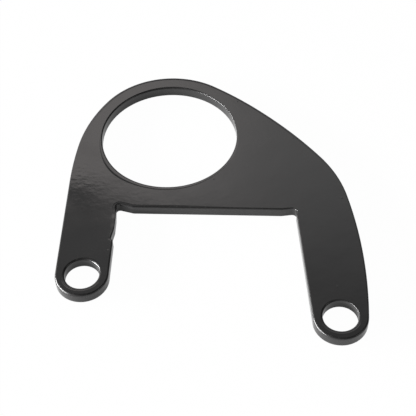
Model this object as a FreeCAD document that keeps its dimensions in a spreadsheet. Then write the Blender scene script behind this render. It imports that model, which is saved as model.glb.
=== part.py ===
import FreeCAD, Part
import math
import os
import Sketcher
from types import SimpleNamespace

Vector = FreeCAD.Vector

# Driving dimensions in millimetres, and one angle in degrees, with what each one measures.
# The origin is on the gauge hole's axis, halfway through the plate. +Y runs away from the legs.
DRIVING = {
    "plate_thickness": (4.3, "steel plate with its coat"),
    "edge_radius": (0.6, "rounding of every edge of the two faces"),
    "corner_allowance": (0.4, "upright corners are rounded by this much more than those edges"),
    "gauge_hole_diameter": (52.0, "clear hole for the gauge body"),
    "ring_width": (4.9, "from the gauge hole to the ring's outer arc, at the sides"),
    "ring_lift": (1.2, "ring's outer arc stands this much further from the legs than the hole"),
    "bridge_width": (10.2, "from the gauge hole to the top of the notch"),
    "bolt_hole_diameter": (12.2, "clear hole for a bolt"),
    "bolt_span": (89.6, "between the bolt holes, along the notch's top edge"),
    "left_leg_length": (30.5, "from the notch's top edge to the left bolt hole"),
    "right_leg_length": (45.8, "from the notch's top edge to the right bolt hole"),
    "leg_end_radius": (9.5, "round end of each leg, about its bolt hole"),
    "splay_angle": (6.4, "right leg's inner edge, away from square to the notch's top edge"),
    "left_overhang": (5.1, "left leg's outer edge stands this much outside the ring's arc"),
    "left_flank_radius": (141.0, "slow curve at the top of the left leg's outer edge"),
    "left_shoulder_radius": (57.0, "curve from the left flank into the ring"),
    "left_shoulder_set_in": (0.7, "left shoulder's circle stays this far inside the leg's outer edge"),
    "slope_radius": (163.0, "slow curve from the ring down to the right shoulder"),
    "right_shoulder_radius": (49.0, "curve between the slope and the right flank"),
    "right_shoulder_rise": (41.7, "right shoulder's centre above the right bolt hole"),
    "right_shoulder_set_in": (3.9, "right shoulder's circle stays this far inside the leg end's reach"),
    "right_flank_radius": (187.0, "slow curve of the right leg's outer edge"),
    "left_relief_radius": (1.3, "relief in the notch's left corner"),
    "left_relief_rise": (1.25, "how far it goes above the notch's top edge"),
    "left_relief_bite": (0.4, "how far it goes into the left leg"),
    "left_relief_run": (4.9, "run-out from its centre along the notch's top edge"),
    "left_relief_fall": (4.6, "run-out from its centre down the left leg"),
    "right_relief_radius": (1.65, "relief in the notch's right corner"),
    "right_relief_rise": (0.6, "how far it goes above the notch's top edge"),
    "right_relief_bite": (0.3, "how far it goes into the right leg"),
    "right_relief_run": (3.9, "run-out from its centre along the notch's top edge"),
    "nick_drop": (9.8, "from the notch's top edge down to the nick in the left leg"),
    "nick_run": (4.7, "length of the nick's long upper flank"),
    "nick_return": (1.1, "length of the nick's short lower flank"),
    "nick_depth": (0.8, "how deep the nick goes into the leg"),
    "nick_root_radius": (0.3, "rounding at the bottom of the nick"),
}

# Places that follow from the driving dimensions.
DERIVED = {
    "corner_radius": "=edge_radius + corner_allowance",
    "ring_radius": "=gauge_hole_diameter / 2 + ring_width",
    "notch_drop": "=gauge_hole_diameter / 2 + bridge_width",
    "left_bolt_reach": "=ring_radius + left_overhang - leg_end_radius",
    "left_bolt_drop": "=notch_drop + left_leg_length",
    "right_bolt_reach": "=bolt_span - left_bolt_reach",
    "right_bolt_drop": "=notch_drop + right_leg_length",
    "left_shoulder_inset": "=left_shoulder_set_in + left_shoulder_radius",
    "right_shoulder_inset": "=right_shoulder_radius + right_shoulder_set_in - leg_end_radius",
    "left_relief_inset": "=left_relief_radius - left_relief_bite",
    "left_relief_drop": "=notch_drop + left_relief_radius - left_relief_rise",
    "right_relief_inset": "=right_relief_radius - right_relief_bite",
    "right_relief_drop": "=notch_drop + right_relief_radius - right_relief_rise",
    "splay_direction": "=splay_angle - 90",
}

NODE = "bracket_plate"

# How a sketch numbers the ends and centre of a piece, and its own two axes.
START, END, CENTRE = range(1, 4)
X_AXIS, Y_AXIS = range(-1, -3, -1)
ORIGIN = (X_AXIS, START)

# Two points this close, in millimetres, are one; volumes may differ by this share.
NEAR = 1e-5
VOLUME_SHARE = 1e-3


def fill_sheet(doc):
    """Write the dimensions into a sheet, one alias each, and return their values."""
    sheet = doc.addObject("Spreadsheet::Sheet", "sizes")
    row = 0
    for name, (value, meaning) in DRIVING.items():
        row += 1
        sheet.set(f"A{row}", name)
        sheet.set(f"B{row}", str(value))
        sheet.set(f"C{row}", meaning)
        sheet.setAlias(f"B{row}", name)
    for name, formula in DERIVED.items():
        row += 1
        sheet.set(f"A{row}", name)
        sheet.set(f"B{row}", formula)
        sheet.setAlias(f"B{row}", name)
    doc.recompute()
    names = [*DRIVING, *DERIVED]
    return SimpleNamespace(**{name: float(sheet.get(name)) for name in names})


def polar(centre, radius, angle):
    """Point on a circle."""
    return centre + Vector(math.cos(angle), math.sin(angle), 0) * radius


def touch(outer, radius, inner):
    """Point where a circle touches a smaller one inside it."""
    return outer + (inner - outer).normalize() * radius


def holding_circle(first, first_radius, second, second_radius, radius):
    """Centre of the circle that holds two circles and touches both, to the right of first to second."""
    between = second - first
    span = between.Length
    reach_one = radius - first_radius
    reach_two = radius - second_radius
    along = (reach_one**2 - reach_two**2 + span**2) / (2 * span)
    aside = math.sqrt(reach_one**2 - along**2)
    forward = between * (1 / span)
    return first + forward * along + Vector(forward.y, -forward.x, 0) * aside


def tangent_point(centre, radius, point, side):
    """Point of a circle whose tangent passes through an outer point; side is 1 or -1."""
    away = point - centre
    turn = side * math.acos(radius / away.Length)
    return polar(centre, radius, math.atan2(away.y, away.x) + turn)


class Chain:
    """A closed outline, run anticlockwise, as sketch pieces joined end to end."""

    def __init__(self):
        self.pieces = []
        self.index = {}
        self.smooth = []

    def add(self, name, curve, entry, leave, smooth):
        """Keep a piece, with its first and last ends and whether it meets the next smoothly."""
        self.index[name] = len(self.pieces)
        self.pieces.append((curve, entry, leave))
        self.smooth.append(smooth)

    def line(self, name, begin, end, smooth=False):
        """Straight piece."""
        self.add(name, Part.LineSegment(begin, end), START, END, smooth)

    def arc(self, name, centre, radius, begin, end, smooth=True, hollow=False):
        """Round piece: it bulges outwards, or inwards where it is hollow."""
        first, last = (end, begin) if hollow else (begin, end)
        circle = Part.Circle(centre, Vector(0, 0, 1), radius)
        angles = [math.atan2(p.y - centre.y, p.x - centre.x) for p in (first, last)]
        if angles[1] < angles[0]:
            angles[1] += 2 * math.pi
        ends = (END, START) if hollow else (START, END)
        self.add(name, Part.ArcOfCircle(circle, *angles), *ends, smooth)

    def draw(self, sketch):
        """Put the pieces into a sketch and join each to the next."""
        sketch.addGeometry([curve for curve, _, _ in self.pieces], False)
        count = len(self.pieces)
        for here in range(count):
            following = (here + 1) % count
            kind = "Tangent" if self.smooth[here] else "Coincident"
            leave = self.pieces[here][2]
            entry = self.pieces[following][1]
            sketch.addConstraint(Sketcher.Constraint(kind, here, leave, following, entry))

    def end(self, name, which):
        """One end, or the centre, of a piece, as a sketch names it."""
        return self.index[name], which

    def corners(self):
        """Points where two pieces meet at an angle, by the name of the piece that ends there."""
        names = list(self.index)
        found = {}
        for name, (curve, _, leave), smooth in zip(names, self.pieces, self.smooth):
            if not smooth:
                found[name] = curve.EndPoint if leave == END else curve.StartPoint
        return found


def plate_chain(size):
    """Outline of the plate, worked out from the sizes, so that the sketch starts solved."""
    ring = Vector(0, size.ring_lift, 0)
    left_bolt = Vector(-size.left_bolt_reach, -size.left_bolt_drop, 0)
    right_bolt = Vector(size.right_bolt_reach, -size.right_bolt_drop, 0)
    end_radius = size.leg_end_radius
    notch_y = -size.notch_drop
    outer_x = left_bolt.x - end_radius
    inner_x = left_bolt.x + end_radius

    # Right leg's inner edge: it touches the round end and leans out by the splay.
    splay = math.radians(size.splay_angle)
    down = Vector(math.sin(splay), -math.cos(splay), 0)
    across = Vector(math.cos(splay), math.sin(splay), 0)
    right_inner_foot = right_bolt - across * end_radius

    # Notch corner reliefs.
    left_relief = Vector(inner_x + size.left_relief_inset, -size.left_relief_drop, 0)
    left_run_end = Vector(left_relief.x + size.left_relief_run, notch_y, 0)
    left_fall_end = Vector(inner_x, left_relief.y - size.left_relief_fall, 0)
    left_relief_top = tangent_point(left_relief, size.left_relief_radius, left_run_end, 1)
    left_relief_side = tangent_point(left_relief, size.left_relief_radius, left_fall_end, -1)
    rise_to_relief = (right_inner_foot.y + size.right_relief_drop) / down.y
    level_with_relief = right_inner_foot - down * rise_to_relief
    right_relief = level_with_relief - Vector(size.right_relief_inset / across.x, 0, 0)
    right_run_end = Vector(right_relief.x - size.right_relief_run, notch_y, 0)
    right_relief_top = tangent_point(right_relief, size.right_relief_radius, right_run_end, -1)
    half_chord = math.sqrt(size.right_relief_radius**2 - size.right_relief_inset**2)
    right_relief_side = right_relief + across * size.right_relief_inset + down * half_chord

    # Nick in the left leg's inner edge.
    nick_top = Vector(inner_x, notch_y - size.nick_drop, 0)
    nick_tip = nick_top + Vector(-size.nick_depth, -size.nick_run, 0)
    nick_foot = Vector(inner_x, nick_tip.y - size.nick_return, 0)

    # Right side: flank, shoulder and slope, each touching its neighbours.
    shoulder = right_bolt + Vector(-size.right_shoulder_inset, size.right_shoulder_rise, 0)
    flank = holding_circle(
        shoulder, size.right_shoulder_radius, right_bolt, end_radius, size.right_flank_radius
    )
    slope = holding_circle(
        ring, size.ring_radius, shoulder, size.right_shoulder_radius, size.slope_radius
    )
    end_to_flank = touch(flank, size.right_flank_radius, right_bolt)
    flank_to_shoulder = touch(flank, size.right_flank_radius, shoulder)
    shoulder_to_slope = touch(slope, size.slope_radius, shoulder)
    slope_to_ring = touch(slope, size.slope_radius, ring)

    # Left side: shoulder and flank, down to the straight outer edge.
    left_shoulder_x = outer_x + size.left_shoulder_inset
    shoulder_gap = size.left_shoulder_radius - size.ring_radius
    left_shoulder_y = ring.y - math.sqrt(shoulder_gap**2 - left_shoulder_x**2)
    left_shoulder = Vector(left_shoulder_x, left_shoulder_y, 0)
    flank_gap = size.left_flank_radius - size.left_shoulder_radius
    left_flank_x = outer_x + size.left_flank_radius
    flank_drop = math.sqrt(flank_gap**2 - (left_flank_x - left_shoulder_x) ** 2)
    left_flank = Vector(left_flank_x, left_shoulder_y - flank_drop, 0)
    ring_to_shoulder = touch(left_shoulder, size.left_shoulder_radius, ring)
    shoulder_to_flank = touch(left_flank, size.left_flank_radius, left_shoulder)
    flank_foot = Vector(outer_x, left_flank.y, 0)

    left_end_outer = Vector(outer_x, left_bolt.y, 0)
    left_end_inner = Vector(inner_x, left_bolt.y, 0)
    chain = Chain()
    chain.arc("left_end", left_bolt, end_radius, left_end_outer, left_end_inner)
    chain.line("left_inner_low", left_end_inner, nick_foot)
    chain.line("nick_lower", nick_foot, nick_tip)
    chain.line("nick_upper", nick_tip, nick_top)
    chain.line("left_inner_high", nick_top, left_fall_end)
    chain.line("left_relief_fall", left_fall_end, left_relief_side, smooth=True)
    chain.arc(
        "left_relief", left_relief, size.left_relief_radius,
        left_relief_side, left_relief_top, hollow=True,
    )
    chain.line("left_relief_run", left_relief_top, left_run_end)
    chain.line("notch_top", left_run_end, right_run_end)
    chain.line("right_relief_run", right_run_end, right_relief_top, smooth=True)
    chain.arc(
        "right_relief", right_relief, size.right_relief_radius,
        right_relief_top, right_relief_side, smooth=False, hollow=True,
    )
    chain.line("right_inner", right_relief_side, right_inner_foot, smooth=True)
    chain.arc("right_end", right_bolt, end_radius, right_inner_foot, end_to_flank)
    chain.arc("right_flank", flank, size.right_flank_radius, end_to_flank, flank_to_shoulder)
    chain.arc(
        "right_shoulder", shoulder, size.right_shoulder_radius, flank_to_shoulder, shoulder_to_slope
    )
    chain.arc("slope", slope, size.slope_radius, shoulder_to_slope, slope_to_ring)
    chain.arc("ring", ring, size.ring_radius, slope_to_ring, ring_to_shoulder)
    chain.arc(
        "left_shoulder", left_shoulder, size.left_shoulder_radius, ring_to_shoulder, shoulder_to_flank
    )
    chain.arc("left_flank", left_flank, size.left_flank_radius, shoulder_to_flank, flank_foot)
    chain.line("left_outer", flank_foot, left_end_outer, smooth=True)
    return chain


def bind(sketch, size, kind, places, alias, unit="mm"):
    """Add a dimension to a sketch and tie it to a cell of the sheet."""
    start = getattr(size, alias)
    if unit == "deg":
        start = math.radians(start)
    number = sketch.addConstraint(Sketcher.Constraint(kind, *places, start))
    label = f"{kind}_{number}_{alias}"
    sketch.renameConstraint(number, label)
    sketch.setExpression(f"Constraints.{label}", f"sizes.{alias} * 1 {unit}")


def new_sketch(body, name):
    """Empty sketch on the body's XY plane."""
    sketch = body.newObject("Sketcher::SketchObject", name)
    plane = next(item for item in body.Origin.OriginFeatures if item.Role == "XY_Plane")
    sketch.AttachmentSupport = [(plane, "")]
    sketch.MapMode = "FlatFace"
    return sketch


def outline_sketch(body, size, chain):
    """Plate outline, with every size tied to the sheet."""
    sketch = new_sketch(body, "plate_outline")
    chain.draw(sketch)
    at = chain.end

    for name in ("left_outer", "left_inner_low", "left_inner_high"):
        sketch.addConstraint(Sketcher.Constraint("Vertical", chain.index[name]))
    sketch.addConstraint(Sketcher.Constraint("Horizontal", chain.index["notch_top"]))
    sketch.addConstraint(
        Sketcher.Constraint("Vertical", *at("left_inner_low", START), *at("left_inner_high", END))
    )
    sketch.addConstraint(
        Sketcher.Constraint("Equal", chain.index["left_end"], chain.index["right_end"])
    )
    sketch.addConstraint(Sketcher.Constraint("PointOnObject", *at("ring", CENTRE), Y_AXIS))

    radii = {
        "left_end": "leg_end_radius",
        "ring": "ring_radius",
        "left_shoulder": "left_shoulder_radius",
        "left_flank": "left_flank_radius",
        "slope": "slope_radius",
        "right_shoulder": "right_shoulder_radius",
        "right_flank": "right_flank_radius",
        "left_relief": "left_relief_radius",
        "right_relief": "right_relief_radius",
    }
    for name, alias in radii.items():
        bind(sketch, size, "Radius", (chain.index[name],), alias)

    across = [
        (at("left_end", CENTRE), ORIGIN, "left_bolt_reach"),
        (ORIGIN, at("right_end", CENTRE), "right_bolt_reach"),
        (at("left_outer", START), at("left_shoulder", CENTRE), "left_shoulder_inset"),
        (at("right_shoulder", CENTRE), at("right_end", CENTRE), "right_shoulder_inset"),
        (at("left_inner_high", END), at("left_relief", CENTRE), "left_relief_inset"),
        (at("left_relief", CENTRE), at("notch_top", START), "left_relief_run"),
        (at("notch_top", END), at("right_relief", CENTRE), "right_relief_run"),
        (at("nick_upper", START), at("nick_upper", END), "nick_depth"),
    ]
    for low, high, alias in across:
        bind(sketch, size, "DistanceX", (*low, *high), alias)

    upwards = [
        (ORIGIN, at("ring", CENTRE), "ring_lift"),
        (at("notch_top", START), ORIGIN, "notch_drop"),
        (at("left_end", CENTRE), ORIGIN, "left_bolt_drop"),
        (at("right_end", CENTRE), ORIGIN, "right_bolt_drop"),
        (at("right_end", CENTRE), at("right_shoulder", CENTRE), "right_shoulder_rise"),
        (at("left_relief", CENTRE), ORIGIN, "left_relief_drop"),
        (at("left_relief_fall", START), at("left_relief", CENTRE), "left_relief_fall"),
        (at("right_relief", CENTRE), ORIGIN, "right_relief_drop"),
        (at("nick_upper", END), at("notch_top", START), "nick_drop"),
        (at("nick_upper", START), at("nick_upper", END), "nick_run"),
        (at("nick_lower", START), at("nick_lower", END), "nick_return"),
    ]
    for low, high, alias in upwards:
        bind(sketch, size, "DistanceY", (*low, *high), alias)

    right_inner = chain.index["right_inner"]
    bind(sketch, size, "Angle", (right_inner,), "splay_direction", unit="deg")
    bind(sketch, size, "Distance", (*at("right_relief", CENTRE), right_inner), "right_relief_inset")
    return sketch


def hole_sketch(body, size, name, diameter, places):
    """Round holes of one diameter; each place is its reach from the origin, with the sheet's names."""
    sketch = new_sketch(body, name)
    radius = getattr(size, diameter) / 2
    for centre, ties in places:
        hole = sketch.addGeometry(Part.Circle(centre, Vector(0, 0, 1), radius), False)
        bind(sketch, size, "Diameter", (hole,), diameter)
        if not ties:
            sketch.addConstraint(Sketcher.Constraint("Coincident", hole, CENTRE, *ORIGIN))
        for kind, outwards, alias in ties:
            ends = (*ORIGIN, hole, CENTRE) if outwards else (hole, CENTRE, *ORIGIN)
            bind(sketch, size, kind, ends, alias)
    return sketch


def cut_through(body, sketch, name):
    """Cut a sketch's holes through the plate, both ways from its middle."""
    pocket = body.newObject("PartDesign::Pocket", name)
    pocket.Profile = sketch
    pocket.SideType = "Symmetric"
    pocket.Type = "ThroughAll"
    return pocket


def upright_edges(shape, points):
    """Names of the straight upright edges that stand on given points of the outline."""
    names = []
    for number, edge in enumerate(shape.Edges, start=1):
        box = edge.BoundBox
        upright = box.XLength < NEAR and box.YLength < NEAR
        foot = Vector(box.Center.x, box.Center.y, 0)
        if upright and any(foot.distanceToPoint(point) < NEAR for point in points):
            names.append(f"Edge{number}")
    return names


def level_edges(shape, heights):
    """Names of the edges that lie flat at given heights."""
    names = []
    for number, edge in enumerate(shape.Edges, start=1):
        box = edge.BoundBox
        if any(abs(box.ZMin - z) < NEAR and abs(box.ZMax - z) < NEAR for z in heights):
            names.append(f"Edge{number}")
    return names


def round_edges(doc, body, base, edges, name, alias):
    """Round some edges of a feature by a radius from the sheet."""
    rounding = body.newObject("PartDesign::Fillet", name)
    rounding.Base = (base, edges)
    rounding.setExpression("Radius", f"sizes.{alias} * 1 mm")
    doc.recompute()
    return rounding


def build_plate(doc, size):
    """The bracket: one flat plate with its holes, all edges of both faces rounded."""
    body = doc.addObject("PartDesign::Body", NODE)
    body.Label = NODE
    chain = plate_chain(size)
    pad = body.newObject("PartDesign::Pad", "plate")
    pad.Profile = outline_sketch(body, size, chain)
    pad.SideType = "Symmetric"
    pad.setExpression("Length", "sizes.plate_thickness * 1 mm")
    doc.recompute()

    corners = chain.corners()
    nick_root = corners.pop("nick_lower")
    sharp = upright_edges(pad.Shape, corners.values())
    eased = round_edges(doc, body, pad, sharp, "eased_corners", "corner_radius")
    root = upright_edges(eased.Shape, [nick_root])
    blank = round_edges(doc, body, eased, root, "nick_root", "nick_root_radius")
    full = blank.Shape.Volume

    gauge_hole = hole_sketch(
        body, size, "gauge_hole_circle", "gauge_hole_diameter", [(Vector(0, 0, 0), [])]
    )
    cut_through(body, gauge_hole, "gauge_hole")
    bolt_places = [
        (
            Vector(-size.left_bolt_reach, -size.left_bolt_drop, 0),
            [("DistanceX", False, "left_bolt_reach"), ("DistanceY", False, "left_bolt_drop")],
        ),
        (
            Vector(size.right_bolt_reach, -size.right_bolt_drop, 0),
            [("DistanceX", True, "right_bolt_reach"), ("DistanceY", False, "right_bolt_drop")],
        ),
    ]
    bolt_holes = hole_sketch(
        body, size, "bolt_hole_circles", "bolt_hole_diameter", bolt_places
    )
    drilled = cut_through(body, bolt_holes, "bolt_holes")
    doc.recompute()
    area = math.pi / 4 * (size.gauge_hole_diameter**2 + 2 * size.bolt_hole_diameter**2)
    removed = full - drilled.Shape.Volume
    if abs(removed - area * size.plate_thickness) > VOLUME_SHARE * removed:
        raise ValueError("the holes didn't go right through the plate")

    half = size.plate_thickness / 2
    rims = level_edges(drilled.Shape, (-half, half))
    body.Tip = round_edges(doc, body, drilled, rims, "rounded_edges", "edge_radius")
    body.Placement = FreeCAD.Placement()
    return body


def check(doc, bodies):
    """Stop if any object failed, or a body isn't one valid solid."""
    for item in doc.Objects:
        if "Invalid" in item.State or "Error" in item.State:
            raise ValueError(f"{item.Label} failed: {item.State}")
    for body in bodies:
        shape = body.Shape
        if shape.isNull() or not shape.isValid() or len(shape.Solids) != 1:
            raise ValueError(f"{body.Label} isn't one valid solid")


def main():
    """Build the document and write each sub-part to its own file."""
    doc = FreeCAD.newDocument("gauge_bracket")
    size = fill_sheet(doc)
    bodies = [build_plate(doc, size)]
    doc.recompute()
    check(doc, bodies)
    os.makedirs("parts", exist_ok=True)
    for body in bodies:
        body.Shape.exportStep(f"parts/{body.Label}.step")
        box = body.Shape.BoundBox
        print(body.Label, round(body.Shape.Volume, 1), "mm3,", box)


main()
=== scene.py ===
"""Gauge bracket: one flat steel plate in a gloss black coat, lying on a white table."""
import cmath
import logging
import math
from dataclasses import dataclass
from enum import Enum
from typing import Any, Optional, Union

import bmesh
import bpy
from mathutils import Matrix, Vector


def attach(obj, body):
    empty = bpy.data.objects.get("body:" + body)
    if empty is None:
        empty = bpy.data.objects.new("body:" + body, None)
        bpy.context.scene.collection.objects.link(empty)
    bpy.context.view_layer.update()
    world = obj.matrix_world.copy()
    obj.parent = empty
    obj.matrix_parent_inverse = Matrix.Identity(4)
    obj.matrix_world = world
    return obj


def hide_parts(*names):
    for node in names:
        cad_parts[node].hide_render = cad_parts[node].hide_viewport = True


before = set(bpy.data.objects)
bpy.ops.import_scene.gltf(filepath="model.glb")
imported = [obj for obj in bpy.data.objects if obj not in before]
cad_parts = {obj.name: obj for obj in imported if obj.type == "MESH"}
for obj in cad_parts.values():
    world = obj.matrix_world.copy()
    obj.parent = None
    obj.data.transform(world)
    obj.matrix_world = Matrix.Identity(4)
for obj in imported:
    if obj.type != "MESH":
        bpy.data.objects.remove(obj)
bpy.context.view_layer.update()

Triple = tuple[float, float, float]
Paint = tuple[float, float, float, float]
Span = tuple[float, float]

MM = 0.001
GAUGE_HOLE = 52.0
WHITE = (1.0, 1.0, 1.0)
WARM = (1.05, 0.975, 0.955)
LOG = logging.getLogger("gauge_bracket")


def placed(name: str, data: Any) -> bpy.types.Object:
    """Add an object to the scene.

    Args:
        name: its name.
        data: its mesh, lamp or camera.

    Returns:
        The object.
    """
    made = bpy.data.objects.new(name, data)
    bpy.context.scene.collection.objects.link(made)
    return made


class Wire:
    """A node's output that takes part in sums.

    Each operator adds a Math node to the tree that the output belongs to.
    """

    def __init__(self, bench: "Bench", socket: bpy.types.NodeSocket) -> None:
        """Hold one output of a tree."""
        self.bench = bench
        self.socket = socket

    def __add__(self, other: "Number") -> "Wire":
        """This plus other."""
        return self.bench.math("ADD", self, other)

    def __radd__(self, other: float) -> "Wire":
        """Other plus this."""
        return self.bench.math("ADD", other, self)

    def __sub__(self, other: "Number") -> "Wire":
        """This less other."""
        return self.bench.math("SUBTRACT", self, other)

    def __rsub__(self, other: float) -> "Wire":
        """Other less this."""
        return self.bench.math("SUBTRACT", other, self)

    def __mul__(self, other: "Number") -> "Wire":
        """This times other."""
        return self.bench.math("MULTIPLY", self, other)

    def __rmul__(self, other: float) -> "Wire":
        """Other times this."""
        return self.bench.math("MULTIPLY", other, self)

    def __truediv__(self, other: "Number") -> "Wire":
        """This over other."""
        return self.bench.math("DIVIDE", self, other)

    def __rtruediv__(self, other: float) -> "Wire":
        """Other over this."""
        return self.bench.math("DIVIDE", other, self)

    def __pow__(self, other: "Number") -> "Wire":
        """This to the power of other."""
        return self.bench.math("POWER", self, other)

    def __abs__(self) -> "Wire":
        """Size of this without its sign."""
        return self.bench.math("ABSOLUTE", self)

    def below(self, other: "Number") -> "Wire":
        """One where this is under other, else nought."""
        return self.bench.math("LESS_THAN", self, other)

    def lesser(self, other: "Number") -> "Wire":
        """The smaller of the two."""
        return self.bench.math("MINIMUM", self, other)

    def greater(self, other: "Number") -> "Wire":
        """The larger of the two."""
        return self.bench.math("MAXIMUM", self, other)

    def held(self) -> "Wire":
        """This, kept between nought and one."""
        return self.greater(0.0).lesser(1.0)

    def rise(self, low: float, high: float) -> "Wire":
        """Smooth step from nought at low to one at high; low may be the larger."""
        part = ((self - low) / (high - low)).held()
        return part * part * (3.0 - 2.0 * part)

    def exp(self) -> "Wire":
        """The natural exponential of this."""
        return self.bench.math("EXPONENT", self)

    def soft(self) -> "Wire":
        """Soft step: nought far under nought, a half at nought and one far above."""
        return 1.0 / (1.0 + (self * -1.0).exp())


Number = Union[Wire, float]


class VectorSum(Enum):
    """What a Vector Math node works out: its operation, its second input and its output."""

    ADD = ("ADD", 1, "Vector")
    MULTIPLY = ("MULTIPLY", 1, "Vector")
    SCALE = ("SCALE", "Scale", "Vector")
    DISTANCE = ("DISTANCE", 1, "Value")
    DOT = ("DOT_PRODUCT", 1, "Value")


class Blend(Enum):
    """How a second colour goes on a first."""

    OVER = "MIX"
    ADDED = "ADD"


class Bench:
    """Lays nodes in one tree and links them."""

    def __init__(self, tree: bpy.types.NodeTree) -> None:
        """Take a tree and clear it."""
        self.tree = tree
        tree.nodes.clear()

    @staticmethod
    def pick(sockets: Any, key: Union[int, str]) -> bpy.types.NodeSocket:
        """Find a socket among those in use.

        Args:
            sockets: a node's inputs or outputs.
            key: its place or its name.

        Returns:
            The socket.
        """
        usable = [socket for socket in sockets if socket.enabled]
        if isinstance(key, int):
            return usable[key]
        return next(socket for socket in usable if socket.name == key)

    def node(
        self,
        kind: str,
        settings: Optional[dict[str, Any]] = None,
        inputs: Optional[dict[Union[int, str], Any]] = None,
        output: Union[int, str] = 0,
    ) -> Wire:
        """Add a node.

        Args:
            kind: the node's type.
            settings: its own settings, set first; "stops" holds a ramp's places and levels.
            inputs: values or outputs for its sockets, by place or name.
            output: the output to hand back, by place or name.

        Returns:
            That output.
        """
        made = self.tree.nodes.new(kind)
        for name, value in (settings or {}).items():
            if name == "stops":
                self.set_stops(made.color_ramp, value)
            else:
                setattr(made, name, value)
        for key, value in (inputs or {}).items():
            socket = self.pick(made.inputs, key)
            if isinstance(value, Wire):
                self.tree.links.new(value.socket, socket)
            else:
                socket.default_value = value
        return Wire(self, self.pick(made.outputs, output))

    @staticmethod
    def set_stops(ramp: bpy.types.ColorRamp, stops: tuple[Span, ...]) -> None:
        """Give a ramp its grey stops.

        Args:
            ramp: the ramp to fill.
            stops: places from nought to one with their levels, in order.
        """
        while len(ramp.elements) < len(stops):
            ramp.elements.new(1.0)
        for element, (place, level) in zip(ramp.elements, stops):
            element.position = place
            element.color = (level, level, level, 1.0)

    def math(self, operation: str, *values: Number) -> Wire:
        """Math node on one or two values."""
        return self.node("ShaderNodeMath", {"operation": operation}, dict(enumerate(values)))

    def vector(self, kind: VectorSum, first: Any, second: Any) -> Wire:
        """Vector Math node on two vectors, or on a vector and the number that scales it."""
        operation, key, output = kind.value
        return self.node(
            "ShaderNodeVectorMath", {"operation": operation}, {0: first, key: second}, output
        )

    def mix(self, factor: Number, first: Any, second: Any, blend: Blend = Blend.OVER) -> Wire:
        """Mix node that puts a share of the second colour on the first."""
        settings = {"data_type": "RGBA", "blend_type": blend.value}
        return self.node("ShaderNodeMix", settings, {"Factor": factor, "A": first, "B": second})

    def end(self, kind: str, inputs: dict[Union[int, str], Wire]) -> None:
        """Add a node that has no output.

        Args:
            kind: the node's type.
            inputs: outputs for its sockets, by place or name.
        """
        made = self.tree.nodes.new(kind)
        for key, value in inputs.items():
            self.tree.links.new(value.socket, self.pick(made.inputs, key))


@dataclass(frozen=True)
class Run:
    """A stretch of the plate's edge, walked with the steel on its left, in millimetres.

    Attributes:
        begin: where it starts.
        end: where it ends.
        centre: centre of a round run; None where it is straight.
        hollow: whether a round run curves into the steel.
        ease: radius that rounds the corner at its end; nought where the next run goes on smoothly.
    """

    begin: complex
    end: complex
    centre: Optional[complex] = None
    hollow: bool = False
    ease: float = 0.0

    @property
    def heading(self) -> complex:
        """Direction of a straight run."""
        return (self.end - self.begin) / abs(self.end - self.begin)

    def walk(self, longest: float, widest: float) -> list[tuple[complex, complex]]:
        """Sample the run, its end left out.

        Args:
            longest: most that two points may stand apart.
            widest: most that a round run may turn between two points, in radians.

        Returns:
            Each point with the direction that faces out of the steel there.
        """
        if self.centre is None:
            count = math.ceil(abs(self.end - self.begin) / longest)
            step = (self.end - self.begin) / count
            return [(self.begin + step * k, -1j * self.heading) for k in range(count)]
        arm = self.begin - self.centre
        sweep = cmath.phase((self.end - self.centre) / arm) % (2 * math.pi)
        if self.hollow:
            sweep -= 2 * math.pi
        count = math.ceil(max(abs(sweep) / widest, abs(sweep) * abs(arm) / longest))
        arms = [arm * cmath.exp(1j * sweep * k / count) for k in range(count)]
        side = -1 if self.hollow else 1
        return [(self.centre + spoke, side * spoke / abs(spoke)) for spoke in arms]


@dataclass(frozen=True)
class SoftSpot:
    """A place where the upper edge differs from the rest, in millimetres.

    Attributes:
        place: its middle, on the edge.
        reach: how far along the edge it fades away.
        width: how far the fall reaches into the face.
        drop: how deep it falls at the edge.
        rounder: how much larger the edge's radius is; under nought where the edge is crisper.
    """

    place: complex
    reach: float
    width: float = 0.0
    drop: float = 0.0
    rounder: float = 0.0

    def share(self, point: complex) -> float:
        """How much of it a point of the edge gets, from nought to one."""
        return math.exp(-((abs(point - self.place) / self.reach) ** 2))


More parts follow.
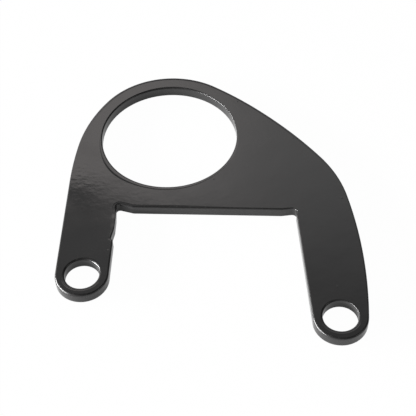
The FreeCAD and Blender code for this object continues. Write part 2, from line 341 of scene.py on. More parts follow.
class EdgeSweep:
    """Geometry Nodes tree that sweeps the rounded edge round every outline and closes both faces.

    The section has a straight wall, a quarter round, a shallow fall into the face and a flat lead.
    Two values are noted on its points for the coat: "edge", which is one where the round meets the
    face and fades over the fall, and "bend", which is one halfway round.
    """

    NAME = "rolled_edge"
    # Points of the section, and where its parts end on the way from mid-thickness to the face.
    STEPS = 33
    WALL_END = 2 / 16
    ROUND_END = 10 / 16
    FALL_END = 15 / 16
    # With a low power the fall is a step beside the round and then lies nearly flat.
    FALL_POWER = 0.25
    # The fall ends a little early, so that a rounding error can't leave a step beside the lead.
    OVER = 1.0001
    # Points this close, in metres, are joined.
    WELD = 1e-6

    def __init__(self) -> None:
        """Build the tree."""
        self.tree = bpy.data.node_groups.new(self.NAME, "GeometryNodeTree")
        self.bench = Bench(self.tree)
        face = self.tree.interface
        face.new_socket("Outline", in_out="INPUT", socket_type="NodeSocketGeometry")
        for name in ("Half thickness", "Edge radius", "Lead"):
            face.new_socket(name, in_out="INPUT", socket_type="NodeSocketFloat")
        face.new_socket("Coat", in_out="INPUT", socket_type="NodeSocketMaterial")
        face.new_socket("Plate", in_out="OUTPUT", socket_type="NodeSocketGeometry")
        self.lay()

    def given(self, name: str) -> Wire:
        """One of the tree's own inputs."""
        return self.bench.node("NodeGroupInput", output=name)

    def noted(self, name: str, kind: str = "FLOAT") -> Wire:
        """A value noted on the points."""
        settings = {"data_type": kind}
        return self.bench.node("GeometryNodeInputNamedAttribute", settings, {"Name": name})

    def note(self, shape: Wire, name: str, value: Wire, kind: str = "FLOAT") -> Wire:
        """The shape with a value noted on its points under a name."""
        inputs = {"Geometry": shape, "Name": name, "Value": value}
        return self.bench.node(
            "GeometryNodeStoreNamedAttribute", {"data_type": kind, "domain": "POINT"}, inputs
        )

    def inward(self, distance: Number, height: Number) -> Wire:
        """Place of a point that stands in from its outline.

        Args:
            distance: how far in.
            height: how high.

        Returns:
            The place as a vector.
        """
        outward = self.noted("outward", "FLOAT_VECTOR")
        shift = self.bench.vector(VectorSum.SCALE, outward, 0.0 - distance)
        level = self.bench.vector(VectorSum.ADD, self.noted("spine", "FLOAT_VECTOR"), shift)
        lift = self.bench.node("ShaderNodeCombineXYZ", None, {"Z": height})
        return self.bench.vector(VectorSum.ADD, level, lift)

    def moved(self, shape: Wire, place: Wire) -> Wire:
        """The shape with its points at a place."""
        inputs = {"Geometry": shape, "Position": place}
        return self.bench.node("GeometryNodeSetPosition", None, inputs)

    def cap(self, path: Wire, distance: Number, height: Wire) -> Wire:
        """Flat face inside the swept edge.

        Args:
            path: the outlines as curves.
            distance: how far in from the outlines it starts.
            height: its level.

        Returns:
            The face.
        """
        inset = self.moved(path, self.inward(distance, 0.0))
        filled = self.bench.node("GeometryNodeFillCurve", None, {"Curve": inset})
        lift = self.bench.node("ShaderNodeCombineXYZ", None, {"Z": height})
        inputs = {"Geometry": filled, "Offset": lift}
        return self.bench.node("GeometryNodeSetPosition", None, inputs)

    def lay(self) -> None:
        """Lay the tree's nodes."""
        bench = self.bench
        half = self.given("Half thickness")
        plain = self.given("Edge radius")
        lead = self.given("Lead")
        place = bench.node("GeometryNodeInputPosition")
        outline = self.note(self.given("Outline"), "spine", place, "FLOAT_VECTOR")
        path = bench.node("GeometryNodeMeshToCurve", None, {"Mesh": outline})

        line = bench.node("GeometryNodeCurvePrimitiveLine")
        line = bench.node("GeometryNodeResampleCurve", None, {"Curve": line, "Count": self.STEPS})
        along = bench.node("GeometryNodeSplineParameter", output="Factor")
        profile = self.note(line, "section", along)
        curves = {"Curve": path, "Profile Curve": profile}
        swept = bench.node("GeometryNodeCurveToMesh", None, curves)

        section = self.noted("section")
        reach = abs(section * 2.0 - 1.0)
        upper = section.below(0.5)
        radius = plain + upper * self.noted("rounder")
        fall_width = upper * self.noted("fall_width")
        fall_drop = upper * self.noted("fall_drop")
        wall = (reach / self.WALL_END).held()
        turn = ((reach - self.WALL_END) / (self.ROUND_END - self.WALL_END)).held() * (math.pi / 2)
        across = ((reach - self.ROUND_END) / (self.FALL_END - self.ROUND_END)).held()
        last = ((reach - self.FALL_END) / (1.0 - self.FALL_END)).held()
        inset = radius * (1.0 - bench.math("COSINE", turn)) + (fall_width + lead) * across
        left = 1.0 - (inset * self.OVER / (radius + fall_width + lead)).held()
        height = wall * (half - radius - fall_drop * left**self.FALL_POWER)
        height = height + radius * bench.math("SINE", turn)
        side = upper * 2.0 - 1.0
        rim = self.moved(swept, self.inward(inset + lead * last, height * side))
        rim = self.note(rim, "edge", bench.math("SINE", turn) * (1.0 - across))
        rim = self.note(rim, "bend", bench.math("SINE", turn * 2.0))

        inner = plain + self.noted("rounder") + self.noted("fall_width") + lead * 2.0
        top = self.cap(path, inner, half)
        base = self.cap(path, plain + lead * 2.0, 0.0 - half)
        whole = bench.node("GeometryNodeJoinGeometry", None, {"Geometry": rim})
        joint = whole.socket.node.inputs["Geometry"]
        bench.tree.links.new(top.socket, joint)
        bench.tree.links.new(base.socket, joint)
        weld = {"Geometry": whole, "Distance": self.WELD}
        whole = bench.node("GeometryNodeMergeByDistance", None, weld)
        whole = bench.node("GeometryNodeSetShadeSmooth", None, {"Geometry": whole})
        whole = bench.node("GeometryNodeRealizeInstances", None, {"Geometry": whole})
        coat = self.given("Coat")
        whole = bench.node("GeometryNodeSetMaterial", None, {"Geometry": whole, "Material": coat})
        bench.end("NodeGroupOutput", {"Plate": whole})

    def identifier(self, name: str) -> str:
        """The name by which a modifier holds one of the inputs."""
        return next(
            item.identifier
            for item in self.tree.interface.items_tree
            if item.in_out == "INPUT" and item.name == name
        )


@dataclass(frozen=True)
class BlackCoat:
    """Gloss black coat over steel: deep colour, orange peel, slow waves, ripples and dust nibs.

    Sizes are in millimetres. A span holds the levels at which an effect sets in and is full.

    Attributes:
        slot: the record's name for it.
        colour: its own colour.
        dull_colour: its colour where it is dull.
        wear_and_glint: its lighter colour on specks of the edges' round, part rubbed wear and part
            painted highlight.
        index: its refractive index.
        sheen_low, sheen_high: roughness where it lies smoothest, and where it is dull.
        cloud_size, cloud_span: width and span of the dull clouds.
        bend_rough, bend_span: roughness added on the edges' round, and its span there.
        wear_glint_size, wear_glint_span: width and span of the lighter specks, part rubbed wear and
            part painted highlight.
        wear_glint_edge: span of the edges' round where those specks may lie.
        peel_size, peel_height: width of the orange peel's cells, and how high they stand.
        wave_size, wave_height: the same for the slow waves.
        ripple_size, ripple_height: the same for the short ripples.
        ripple_squeeze: how much closer they lie along each axis.
        ripple_share: how much of them shows on the whole plate.
        uneven_ripple: how much more of them shows where the coat lies unevenly.
        uneven_place, uneven_reach: middle and reach of that patch, in metres.
        uneven_height: how thickly the coat swells there.
        nib_gap: about how far apart the dust nibs lie.
        nib_size, nib_height: radius of a nib, and how high it stands.
    """

    slot: str = "black_coat"
    colour: Paint = (0.0168, 0.0165, 0.0167, 1.0)
    dull_colour: Paint = (0.0182, 0.0178, 0.0178, 1.0)
    # Lighter colour of the edge specks: part rubbed wear, part painted highlight.
    wear_and_glint: Paint = (0.045, 0.044, 0.042, 1.0)
    index: float = 1.5
    sheen_low: float = 0.075
    sheen_high: float = 0.12
    cloud_size: float = 14.0
    cloud_span: Span = (0.35, 0.75)
    bend_rough: float = 0.2
    bend_span: Span = (0.1, 0.7)
    wear_glint_size: float = 0.9
    wear_glint_span: Span = (0.6, 0.78)
    wear_glint_edge: Span = (0.35, 0.8)
    peel_size: float = 1.6
    peel_height: float = 0.006
    wave_size: float = 11.0
    wave_height: float = 0.035
    ripple_size: float = 2.8
    ripple_height: float = 0.012
    ripple_squeeze: Triple = (1.0, 1.5, 1.0)
    ripple_share: float = 0.6
    uneven_ripple: float = 2.4
    uneven_place: Triple = (-0.0325, -0.0235, 0.00215)
    uneven_reach: float = 0.014
    uneven_height: float = 0.06
    nib_gap: float = 30.0
    nib_size: float = 0.45
    nib_height: float = 0.02

    @staticmethod
    def noise(bench: Bench, place: Wire, size: float, detail: float = 1.0) -> Wire:
        """Cloudy pattern with cells of a size in millimetres, about a half on the whole."""
        inputs = {"Vector": place, "Scale": 1.0 / (size * MM), "Detail": detail, "Roughness": 0.5}
        return bench.node("ShaderNodeTexNoise", None, inputs)

    def relief(self, bench: Bench, place: Wire) -> Wire:
        """How high the coat stands.

        Args:
            bench: the tree's bench.
            place: coordinates in metres.

        Returns:
            The height, in metres.
        """
        peel = self.noise(bench, place, self.peel_size) - 0.5
        wave = self.noise(bench, place, self.wave_size) - 0.5
        squeezed = bench.vector(VectorSum.MULTIPLY, place, self.ripple_squeeze)
        ripple = self.noise(bench, squeezed, self.ripple_size, detail=2.0) - 0.5
        away = bench.vector(VectorSum.DISTANCE, place, self.uneven_place)
        swell = away.rise(self.uneven_reach, 0.0)
        ripple = ripple * (self.ripple_share + swell * self.uneven_ripple)
        inputs = {"Vector": place, "Scale": 1.0 / (self.nib_gap * MM)}
        nib = bench.node("ShaderNodeTexVoronoi", {"voronoi_dimensions": "2D"}, inputs, "Distance")
        nib = nib.rise(self.nib_size / self.nib_gap, 0.0)
        height = peel * (self.peel_height * MM) + wave * (self.wave_height * MM)
        height = height + ripple * (self.ripple_height * MM) + swell * (self.uneven_height * MM)
        return height + nib * (self.nib_height * MM)

    def material(self) -> bpy.types.Material:
        """Mix the coat.

        Returns:
            The finished material.
        """
        made = bpy.data.materials.new(self.slot)
        made.use_nodes = True
        bench = Bench(made.node_tree)
        place = bench.node("ShaderNodeTexCoord", output="Object")
        edge, bend = [
            bench.node("ShaderNodeAttribute", {"attribute_name": name}, output="Fac")
            for name in ("edge", "bend")
        ]
        dull = self.noise(bench, place, self.cloud_size, detail=3.0).rise(*self.cloud_span)
        wear_glint_specks = self.noise(bench, place, self.wear_glint_size, detail=2.0).rise(*self.wear_glint_span)
        tint = bench.mix(dull, self.colour, self.dull_colour)
        # Lighter specks on the edges' round: part rubbed wear, part painted highlight.
        tint = bench.mix(edge.rise(*self.wear_glint_edge) * wear_glint_specks, tint, self.wear_and_glint)
        rough = self.sheen_low + dull * (self.sheen_high - self.sheen_low)
        rough = rough + bend.rise(*self.bend_span) * self.bend_rough
        bump = {"Strength": 1.0, "Distance": 1.0, "Height": self.relief(bench, place)}
        normal = bench.node("ShaderNodeBump", None, bump)
        inputs = {"Base Color": tint, "Roughness": rough, "IOR": self.index, "Normal": normal}
        coat = bench.node("ShaderNodeBsdfPrincipled", None, inputs)
        bench.end("ShaderNodeOutputMaterial", {"Surface": coat})
        return made


def on_rim(angle: float) -> complex:
    """Point of the gauge hole's edge, at an angle in degrees from +X, in millimetres."""
    return cmath.rect(GAUGE_HOLE / 2, math.radians(angle))


@dataclass
class BracketPlate:
    """The bracket: a flat plate with a gauge hole, a sloping shoulder and two legs with bolt holes.

    All sizes are in millimetres, from the gauge hole's axis, halfway through the plate. The
    outline's are those of the part's source. These are the scene's own:

    Attributes:
        lead: flat strip of the swept edge beside the face.
        slight_corner_radius: rounding of the slightest corners, softer than the solid's.
        rub_width, rub_drop: fall of the upper edges that face away from the legs.
        rub_fade: how far from a tight corner that starts.
        longest_step: most that two points of an edge may stand apart.
        widest_step: most that a round edge may turn between them, in degrees.
        soft_spots: places where the upper edge is drawn over, rounder or crisper.
    """

    name: str = "bracket_plate_skin"
    node: str = "bracket_plate"
    thickness: float = 4.3
    edge_radius: float = 0.6
    lead: float = 0.12
    corner_radius: float = 1.0
    slight_corner_radius: float = 2.5
    gauge_hole: float = GAUGE_HOLE
    ring_width: float = 4.9
    ring_lift: float = 1.2
    bridge_width: float = 10.2
    bolt_hole: float = 12.2
    bolt_span: float = 89.6
    left_leg: float = 30.5
    right_leg: float = 45.8
    leg_end: float = 9.5
    splay: float = 6.4
    left_overhang: float = 5.1
    left_flank_radius: float = 141.0
    left_shoulder_radius: float = 57.0
    left_shoulder_set_in: float = 0.7
    slope_radius: float = 163.0
    right_shoulder_radius: float = 49.0
    right_shoulder_rise: float = 41.7
    right_shoulder_set_in: float = 3.9
    right_flank_radius: float = 187.0
    left_relief_radius: float = 1.3
    left_relief_rise: float = 1.25
    left_relief_bite: float = 0.4
    left_relief_run: float = 4.9
    left_relief_fall: float = 4.6
    right_relief_radius: float = 1.65
    right_relief_rise: float = 0.6
    right_relief_bite: float = 0.3
    right_relief_run: float = 3.9
    nick_drop: float = 9.8
    nick_run: float = 4.7
    nick_return: float = 1.1
    nick_depth: float = 0.8
    nick_root: float = 0.3
    rub_width: float = 0.4
    rub_drop: float = 0.04
    rub_fade: float = 2.2
    longest_step: float = 1.5
    widest_step: float = 2.5
    soft_spots: tuple[SoftSpot, ...] = (
        SoftSpot(on_rim(225), 11.0, width=1.3, drop=0.22),
        SoftSpot(on_rim(275), 14.0, width=0.6, drop=0.06),
        SoftSpot(-17.0 - 43.0j, 7.0, width=1.2, drop=0.07, rounder=-0.3),
        SoftSpot(-22.2 - 62.4j, 5.0, rounder=0.55),
        SoftSpot(-33.0 - 73.5j, 8.0, rounder=0.4),
        SoftSpot(48.9 - 36.3j, 3.0, rounder=-0.3),
        SoftSpot(67.0 - 78.5j, 5.0, rounder=-0.3),
        SoftSpot(54.9 - 86.3j, 6.0, rounder=0.3),
        SoftSpot(on_rim(85), 13.0, rounder=0.2),
        SoftSpot(on_rim(36), 14.0, rounder=-0.3),
    )

    @property
    def ring_radius(self) -> float:
        """Radius of the ring's outer arc."""
        return self.gauge_hole / 2 + self.ring_width

    @property
    def notch_y(self) -> float:
        """Level of the notch's top edge."""
        return -(self.gauge_hole / 2 + self.bridge_width)

    @property
    def left_bolt(self) -> complex:
        """Centre of the bolt hole in the shorter leg."""
        across = self.leg_end - self.ring_radius - self.left_overhang
        return complex(across, self.notch_y - self.left_leg)

    @property
    def right_bolt(self) -> complex:
        """Centre of the bolt hole in the longer leg."""
        return complex(self.left_bolt.real + self.bolt_span, self.notch_y - self.right_leg)

    @staticmethod
    def touch(outer: complex, radius: float, inner: complex) -> complex:
        """Point where a circle touches a smaller one inside it."""
        return outer + (inner - outer) / abs(inner - outer) * radius

    @staticmethod
    def holding(first: complex, near: float, second: complex, far: float) -> complex:
        """Centre that stands at given distances from two points, to the right of first to second.

        Args:
            first: the first point.
            near: distance from it.
            second: the second point.
            far: distance from that.

        Returns:
            The centre.
        """
        span = abs(second - first)
        along = (near**2 - far**2 + span**2) / (2 * span)
        return first + (second - first) / span * complex(along, -math.sqrt(near**2 - along**2))

    @staticmethod
    def tangent(centre: complex, radius: float, point: complex, side: int) -> complex:
        """Point of a circle whose tangent passes through an outer point.

        Args:
            centre: the circle's centre.
            radius: its radius.
            point: the outer point.
            side: 1 or -1, for the two that there are.

        Returns:
            The point on the circle.
        """
        away = point - centre
        return centre + cmath.rect(radius, cmath.phase(away) + side * math.acos(radius / abs(away)))

    def left_side(self) -> list[Run]:
        """Edge of the shorter leg, from its end up to the notch's left corner.

        Returns:
            The runs in order.
        """
        bolt, end = self.left_bolt, self.leg_end
        inner = bolt.real + end
        nick_top = complex(inner, self.notch_y - self.nick_drop)
        nick_tip = nick_top + complex(-self.nick_depth, -self.nick_run)
        nick_foot = complex(inner, nick_tip.imag - self.nick_return)
        relief = complex(
            inner + self.left_relief_radius - self.left_relief_bite,
            self.notch_y - self.left_relief_radius + self.left_relief_rise,
        )
        fall_end = complex(inner, relief.imag - self.left_relief_fall)
        run_end = complex(relief.real + self.left_relief_run, self.notch_y)
        side = self.tangent(relief, self.left_relief_radius, fall_end, -1)
        top = self.tangent(relief, self.left_relief_radius, run_end, 1)
        slight = self.slight_corner_radius
        return [
            Run(bolt - end, bolt + end, centre=bolt),
            Run(bolt + end, nick_foot, ease=self.corner_radius),
            Run(nick_foot, nick_tip, ease=self.nick_root),
            Run(nick_tip, nick_top, ease=slight),
            Run(nick_top, fall_end, ease=slight),
            Run(fall_end, side),
            Run(side, top, centre=relief, hollow=True),
            Run(top, run_end, ease=slight),
        ]

    def right_side(self, notch_start: complex) -> list[Run]:
        """Edge from the notch's top round its right corner and the longer leg to the ring.

        Args:
            notch_start: where the notch's straight top begins.

        Returns:
            The runs in order.
        """
        bolt, end = self.right_bolt, self.leg_end
        down = cmath.rect(1.0, math.radians(self.splay - 90))
        foot = bolt - 1j * down * end
        level = self.notch_y - self.right_relief_radius + self.right_relief_rise
        bite = self.right_relief_radius - self.right_relief_bite
        relief = foot + down * ((level - foot.imag) / down.imag)
        relief -= bite / math.cos(math.radians(self.splay))
        run_end = complex(relief.real - self.right_relief_run, self.notch_y)
        top = self.tangent(relief, self.right_relief_radius, run_end, -1)
        side = relief + 1j * down * bite + down * math.sqrt(self.right_relief_radius**2 - bite**2)
        reach = self.right_shoulder_radius + self.right_shoulder_set_in - end
        shoulder = bolt + complex(-reach, self.right_shoulder_rise)
        ring = complex(0.0, self.ring_lift)
        flank_radius, slope_radius = self.right_flank_radius, self.slope_radius
        flank = self.holding(
            shoulder, flank_radius - self.right_shoulder_radius, bolt, flank_radius - end
        )
        slope = self.holding(
            ring,
            slope_radius - self.ring_radius,
            shoulder,
            slope_radius - self.right_shoulder_radius,
        )
        end_to_flank = self.touch(flank, flank_radius, bolt)
        flank_to_shoulder = self.touch(flank, flank_radius, shoulder)
        shoulder_to_slope = self.touch(slope, slope_radius, shoulder)
        slope_to_ring = self.touch(slope, slope_radius, ring)
        return [
            Run(notch_start, run_end, ease=self.slight_corner_radius),
            Run(run_end, top),
            Run(top, side, centre=relief, hollow=True, ease=self.corner_radius),
            Run(side, foot),
            Run(foot, end_to_flank, centre=bolt),
            Run(end_to_flank, flank_to_shoulder, centre=flank),
            Run(flank_to_shoulder, shoulder_to_slope, centre=shoulder),
            Run(shoulder_to_slope, slope_to_ring, centre=slope),
        ]

    def back_side(self, ring_start: complex) -> list[Run]:
        """Edge round the ring and down the shorter leg's outer side.

        Args:
            ring_start: where the ring's arc begins.

        Returns:
            The runs in order.
        """
        ring = complex(0.0, self.ring_lift)
        outer = self.left_bolt.real - self.leg_end
        shoulder_x = outer + self.left_shoulder_set_in + self.left_shoulder_radius
        gap = self.left_shoulder_radius - self.ring_radius
        shoulder = complex(shoulder_x, ring.imag - math.sqrt(gap**2 - shoulder_x**2))
        flank_x = outer + self.left_flank_radius
        flank_gap = self.left_flank_radius - self.left_shoulder_radius
        drop = math.sqrt(flank_gap**2 - (flank_x - shoulder_x) ** 2)
        flank = complex(flank_x, shoulder.imag - drop)
        ring_to_shoulder = self.touch(shoulder, self.left_shoulder_radius, ring)
        shoulder_to_flank = self.touch(flank, self.left_flank_radius, shoulder)
        foot = complex(outer, flank.imag)
        return [
            Run(ring_start, ring_to_shoulder, centre=ring),
            Run(ring_to_shoulder, shoulder_to_flank, centre=shoulder),
            Run(shoulder_to_flank, foot, centre=flank),
            Run(foot, self.left_bolt - self.leg_end),
        ]

    @staticmethod
    def rounding(before: Run, after: Run) -> tuple[Run, Run, Run]:
        """Round the corner between two runs.

        Args:
            before: the run that ends at the corner, straight, or hollow before an outer corner.
            after: the straight run that starts there.

        Returns:
            The first run cut short, the rounding and the second run cut short.
        """
        radius, heading = before.ease, after.heading
        if before.centre is None:
            turn = cmath.phase(heading / before.heading)
            back = radius * math.tan(abs(turn) / 2)
            start = before.end - before.heading * back
            stop = before.end + heading * back
            centre = start + before.heading * complex(0, math.copysign(radius, turn))
        else:
            hollow_radius = abs(before.end - before.centre)
            base = after.begin + 1j * heading * radius
            lag = ((base - before.centre) / heading).real
            side = ((base - before.centre) / heading).imag
            centre = base + heading * (math.sqrt((hollow_radius + radius) ** 2 - side**2) - lag)
            way = centre - before.centre
            start = before.centre + way * hollow_radius / (hollow_radius + radius)
            stop = centre - 1j * heading * radius
            turn = 1.0
        return (
            Run(before.begin, start, before.centre, before.hollow),
            Run(start, stop, centre, turn < 0),
            Run(stop, after.end, after.centre, after.hollow, after.ease),
        )

    def outline(self) -> list[Run]:
        """Whole outer edge, its corners rounded.

        Returns:
            The runs, anticlockwise.
        """
        runs = self.left_side()
        runs += self.right_side(runs[-1].end)
        runs += self.back_side(runs[-1].end)
        eased = runs[:1]
        for run in runs[1:]:
            if eased[-1].ease:
                eased[-1:] = self.rounding(eased[-1], run)
            else:
                eased.append(run)
        return eased

    def holes(self) -> list[list[Run]]:
        """Edges of the gauge hole and the bolt holes.

        Returns:
            A closed pair of runs for each hole.
        """
        found = []
        bolts = [(bolt, self.bolt_hole) for bolt in (self.left_bolt, self.right_bolt)]
        for centre, width in [(0j, self.gauge_hole), *bolts]:
            west, east = centre - width / 2, centre + width / 2
            found.append([Run(west, east, centre, True), Run(east, west, centre, True)])
        return found

    def tight_corners(self) -> list[complex]:
        """Where the outline's small outer roundings begin."""
        return [
            run.begin
            for run in self.outline()
            if run.centre is not None
            and not run.hollow
            and abs(run.begin - run.centre) < 2 * self.corner_radius
        ]

    def plain_share(self, point: complex, facing: complex, corners: list[complex]) -> float:
        """Common rub at a point: full on edges that face away from the legs, none at corners."""
        nearest = min(abs(point - corner) for corner in corners) / self.rub_fade
        return (1.0 - math.exp(-(nearest**2))) * min(1.0, max(0.0, 2.0 * facing.imag))

    def wireframe(self) -> bpy.types.Mesh:
        """All edges of the plate as lines at mid-thickness, with notes on them for the sweep.

        Returns:
            A mesh of points and lines.
        """
        places, facings, lines = [], [], []
        for runs in (self.outline(), *self.holes()):
            first = len(places)
            for run in runs:
                for point, facing in run.walk(self.longest_step, math.radians(self.widest_step)):
                    places.append(point)
                    facings.append(facing)
            count = len(places) - first
            lines += [(first + k, first + (k + 1) % count) for k in range(count)]
        mesh = bpy.data.meshes.new("plate_edges")
        mesh.from_pydata([(p.real * MM, p.imag * MM, 0.0) for p in places], lines, [])
        corners, spots = self.tight_corners(), self.soft_spots
        widths, drops, rounders = [], [], []
        for point, facing in zip(places, facings):
            share = self.plain_share(point, facing, corners)
            width = share * self.rub_width + sum(s.width * s.share(point) for s in spots)
            widths.append(MM * width)
            drop = share * self.rub_drop + sum(s.drop * s.share(point) for s in spots)
            drops.append(MM * drop)
            rounders.append(MM * sum(s.rounder * s.share(point) for s in spots))
        flat = [part for facing in facings for part in (facing.real, facing.imag, 0.0)]
        mesh.attributes.new("outward", "FLOAT_VECTOR", "POINT").data.foreach_set("vector", flat)
        for name, values in {"fall_width": widths, "fall_drop": drops, "rounder": rounders}.items():
            mesh.attributes.new(name, "FLOAT", "POINT").data.foreach_set("value", values)
        return mesh

    def build(self, coat: bpy.types.Material) -> bpy.types.Object:
        """Sweep the edges into the finished plate.

        Args:
            coat: its material.

        Returns:
            The plate's object, at the origin.
        """
        raw = placed("plate_edges", self.wireframe())
        sweep = EdgeSweep()
        modifier = raw.modifiers.new("sweep", "NODES")
        modifier.node_group = sweep.tree
        half = self.thickness / 2
        sizes = {"Half thickness": half, "Edge radius": self.edge_radius, "Lead": self.lead}
        for name, size in sizes.items():
            modifier[sweep.identifier(name)] = size * MM
        modifier[sweep.identifier("Coat")] = coat
        ready = raw.evaluated_get(bpy.context.evaluated_depsgraph_get())
        mesh = bpy.data.meshes.new_from_object(ready)
        bpy.data.objects.remove(raw)
        self.finish(mesh)
        return placed(self.name, mesh)

    def finish(self, mesh: bpy.types.Mesh) -> None:
        """Turn all faces outwards and drop what the sweep noted.

        Args:
            mesh: the swept plate.
        """
        shape = bmesh.new()
        shape.from_mesh(mesh)
        bmesh.ops.recalc_face_normals(shape, faces=shape.faces)
        open_edges = sum(1 for edge in shape.edges if not edge.is_manifold)
        shape.to_mesh(mesh)
        shape.free()
        mesh.name = self.name
        for name in ("outward", "fall_width", "fall_drop", "rounder", "spine", "section"):
            if name in mesh.attributes:
                mesh.attributes.remove(mesh.attributes[name])
        LOG.info("%s: %d faces, %d open edges", self.name, len(mesh.polygons), open_edges)

    def dress(self, plate: bpy.types.Object) -> None:
        """Put the plate in the frame in place of its plain solid.

        Args:
            plate: the finished piece.
        """
        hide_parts(self.node)
        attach(plate, "root")


@dataclass(frozen=True)
class Lamp:
    """A soft rectangular lamp that faces the plate.

    Attributes:
        name: what it is.
        place: where it stands, in metres.
        width, height: its size, in metres.
        level: how bright its face is; white paper in plain light is 1.
        aim: the point that it faces, in metres.
    """

    name: str
    place: Triple
    width: float
    height: float
    level: float
    aim: Triple = (0.0, -0.03, 0.0)

    def build(self) -> None:
        """Set the lamp up."""
        data = bpy.data.lights.new(self.name, "AREA")
        data.shape = "RECTANGLE"
        data.size = self.width
        data.size_y = self.height
        data.energy = self.level * math.pi * self.width * self.height
        lamp = placed(self.name, data)
        place = Vector(self.place)
        facing = (Vector(self.aim) - place).to_track_quat("-Z", "Y").to_matrix().to_4x4()
        lamp.matrix_world = Matrix.Translation(place) @ facing


@dataclass
class View:
    """The camera: where it stands and how it is turned.

    Attributes:
        place: in metres.
        pitch: how far it looks down, in degrees.
        yaw: turn about the upright axis, in degrees.
        roll: turn about its own axis, in degrees.
        focal: focal length in widths of the picture.
        sensor: width of the sensor, in millimetres.
        near, far: nearest and farthest that it sees, in metres.
    """

    place: Triple = (0.034293, -0.292385, 0.312272)
    pitch: float = 50.3644
    yaw: float = -3.9937
    roll: float = 2.1077
    focal: float = 1103.51 / 416.0
    sensor: float = 36.0
    near: float = 0.01
    far: float = 100.0

    def build(self) -> None:
        """Set the camera up and make it the scene's own."""
        data = bpy.data.cameras.new("view")
        data.sensor_width = self.sensor
        data.lens = self.focal * self.sensor
        data.clip_start = self.near
        data.clip_end = self.far
        camera = placed("view", data)
        turned = Matrix.Rotation(math.radians(-self.yaw), 4, "Z")
        tilted = Matrix.Rotation(math.radians(90.0 - self.pitch), 4, "X")
        rolled = Matrix.Rotation(math.radians(-self.roll), 4, "Z")
        camera.matrix_world = Matrix.Translation(self.place) @ turned @ tilted @ rolled
        bpy.context.scene.camera = camera


@dataclass(frozen=True, kw_only=True)
class Patch:
    """A patch of the surround, in degrees.

    Attributes:
        azimuth: of its middle, to the right of straight away from the legs.
        elevation: of its middle, above the table.
        turn: of its long axis.
        level: what it adds; under nought where it is a dark patch.
        colour: its colour.
    """

    azimuth: float
    elevation: float
    turn: float = 0.0
    level: float
    colour: Triple = WHITE

    def share(self, along: Wire, across: Wire) -> Wire:
        """How much of the patch shows so far from its middle; each kind has its own."""
        raise NotImplementedError

    def light(self, bench: Bench, way: Wire) -> Wire:
        """What the patch adds in a direction.

        Args:
            bench: the surround's bench.
            way: the direction.

        Returns:
            The light as a colour.
        """
        a, e, t = (math.radians(angle) for angle in (self.azimuth, self.elevation, self.turn))
        east = Vector((math.cos(a), -math.sin(a), 0.0))
        rise = Vector((-math.sin(a) * math.sin(e), -math.cos(a) * math.sin(e), math.cos(e)))
        axes = (east * math.cos(t) + rise * math.sin(t), rise * math.cos(t) - east * math.sin(t))
        degree = math.degrees(1.0)
        along, across = [bench.vector(VectorSum.DOT, way, axis) * degree for axis in axes]
        level = self.share(along, across) * self.level
        parts = {index: level * part for index, part in enumerate(self.colour)}
        return bench.node("ShaderNodeCombineColor", None, parts)


@dataclass(frozen=True, kw_only=True)
class Glow(Patch):
    """A patch that fades away from its middle.

    Attributes:
        long, short: half-widths along its long axis and across it.
    """

    long: float
    short: float

    def share(self, along: Wire, across: Wire) -> Wire:
        """One in the middle of the glow, less further out."""
        along, across = along / self.long, across / self.short
        return ((along * along + across * across) * -0.5).exp()


@dataclass(frozen=True, kw_only=True)
class Panel(Patch):
    """A bright panel with soft edges.

    Attributes:
        left, right, below, above: its reach to each side.
        blur, end_blur: softness of its long edges and of its ends.
    """

    left: float
    right: float
    below: float
    above: float
    blur: float
    end_blur: float

    def share(self, along: Wire, across: Wire) -> Wire:
        """One inside the panel, a half on its edges, nought outside.

        Args:
            along, across: how far from the middle.

        Returns:
            The share.
        """
        left, right = (along + self.left) / self.end_blur, (self.right - along) / self.end_blur
        below, above = (across + self.below) / self.blur, (self.above - across) / self.blur
        return left.soft() * right.soft() * (below.soft() * above.soft())


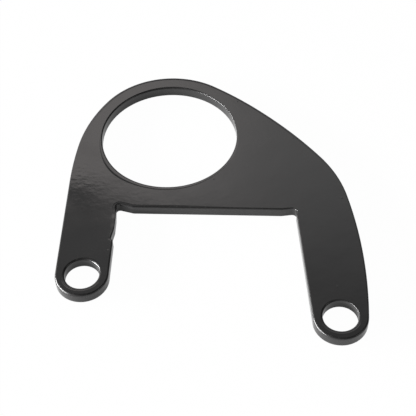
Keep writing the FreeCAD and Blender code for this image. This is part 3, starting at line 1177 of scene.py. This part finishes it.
@dataclass
class Studio:
    """White table, soft lamps and a pale surround that darkens towards the ceiling.

    Attributes:
        floor_level: height of the table, in metres.
        lamps: the lamps.
        patches: what the plate mirrors besides.
        floor_size: width of the table, in metres.
        white_share: how much of the table's white is its own.
        contact: how far under the plate's edge the table darkens in reflections, in metres.
        paper_colour: colour of the rest.
        fade: the surround's levels, from table height to straight up.
        right_span, right_dark: where it darkens to the right, and how much.
        front_span, front_dark: the same on the camera's side.
    """

    floor_level: float
    lamps: tuple[Lamp, ...]
    patches: tuple[Patch, ...]
    floor_size: float = 12.0
    white_share: float = 0.985
    contact: float = 0.004
    paper_colour: Paint = (0.9, 0.9, 0.9, 1.0)
    fade: tuple[Span, ...] = (
        (0.0, 1.0), (0.17, 0.75), (0.34, 0.45), (0.5, 0.32),
        (0.62, 0.25), (0.82, 0.19), (0.9, 0.05), (1.0, 0.02),
    )
    right_span: Span = (0.1, 0.6)
    right_dark: float = 0.75
    front_span: Span = (-0.2, -0.7)
    front_dark: float = 0.45

    def floor(self) -> None:
        """Lay the table."""
        reach = self.floor_size / 2
        corners = [(-reach, -reach), (reach, -reach), (reach, reach), (-reach, reach)]
        mesh = bpy.data.meshes.new("table")
        mesh.from_pydata([(x, y, self.floor_level) for x, y in corners], [], [(0, 1, 2, 3)])
        table = placed("table", mesh)
        mesh.materials.append(self.paper())

    def paper(self) -> bpy.types.Material:
        """White paper that keeps a soft shadow.

        Returns:
            The material.
        """
        made = bpy.data.materials.new("white_paper")
        made.use_nodes = True
        bench = Bench(made.node_tree)
        rays = ("Is Camera Ray", "Is Glossy Ray", "Is Transmission Ray")
        seen, mirrored, through = [bench.node("ShaderNodeLightPath", output=ray) for ray in rays]
        clear = bench.node("ShaderNodeAmbientOcclusion", None, {"Distance": self.contact}, "AO")
        share = seen.greater(mirrored * clear).greater(through) * self.white_share
        plain = bench.node("ShaderNodeBsdfDiffuse", None, {"Color": self.paper_colour})
        white = bench.node("ShaderNodeEmission", None, {"Color": (*WHITE, 1.0), "Strength": 1.0})
        mixed = bench.node("ShaderNodeMixShader", None, {0: share, 1: plain, 2: white})
        bench.end("ShaderNodeOutputMaterial", {"Surface": mixed})
        return made

    def surround(self) -> None:
        """Light all round: white at table height, dark overhead and on two sides, with patches."""
        world = bpy.data.worlds.new("surround")
        bpy.context.scene.world = world
        world.use_nodes = True
        bench = Bench(world.node_tree)
        way = bench.node("ShaderNodeTexCoord", output="Generated")
        right, ahead, height = [
            bench.node("ShaderNodeSeparateXYZ", None, {"Vector": way}, axis) for axis in "XYZ"
        ]
        light = bench.node("ShaderNodeValToRGB", {"stops": self.fade}, {"Fac": height.held()})
        shade = right.rise(*self.right_span) * self.right_dark
        shade = shade.greater(ahead.rise(*self.front_span) * self.front_dark)
        light = bench.mix(shade, light, (0.0, 0.0, 0.0, 1.0))
        for patch in self.patches:
            light = bench.mix(1.0, light, patch.light(bench, way), Blend.ADDED)
        sky = bench.node("ShaderNodeBackground", None, {"Color": light, "Strength": 1.0})
        bench.end("ShaderNodeOutputWorld", {"Surface": sky})

    def build(self) -> None:
        """Set up the table, the surround and the lamps."""
        self.floor()
        self.surround()
        for lamp in self.lamps:
            lamp.build()
            LOG.info("lamp %s", lamp.name)


def main() -> None:
    """Build the plate, the studio and the camera, and log what is made."""
    logging.basicConfig(level=logging.INFO, format="%(message)s")
    bpy.context.scene.view_settings.view_transform = "Standard"
    coat = BlackCoat()
    bracket = BracketPlate()
    plate = bracket.build(coat.material())
    bracket.dress(plate)
    LOG.info("piece %s", plate.name)
    lamps = (
        Lamp("key", place=(-2.0, -0.34, 0.39), width=2.2, height=0.25, level=110.0),
        Lamp("fill", place=(0.62, -0.25, 0.45), width=0.4, height=0.3, level=1.5),
    )
    patches = (
        Glow(azimuth=10.0, elevation=45.0, turn=-25.6, level=0.81, long=12.3, short=5.3),
        Glow(azimuth=-14.1, elevation=49.7, level=-0.38, long=1.5, short=0.7),
        Glow(azimuth=-15.3, elevation=50.7, level=0.13, long=1.2, short=0.6),
        Panel(
            azimuth=-14.0, elevation=45.0, turn=24.4, level=1.45, colour=WARM,
            left=24.0, right=8.1, below=4.5, above=3.3, blur=0.33, end_blur=1.85,
        ),
    )
    Studio(floor_level=-bracket.thickness / 2 * MM, lamps=lamps, patches=patches).build()
    View().build()


if __name__ == "__main__":
    main()
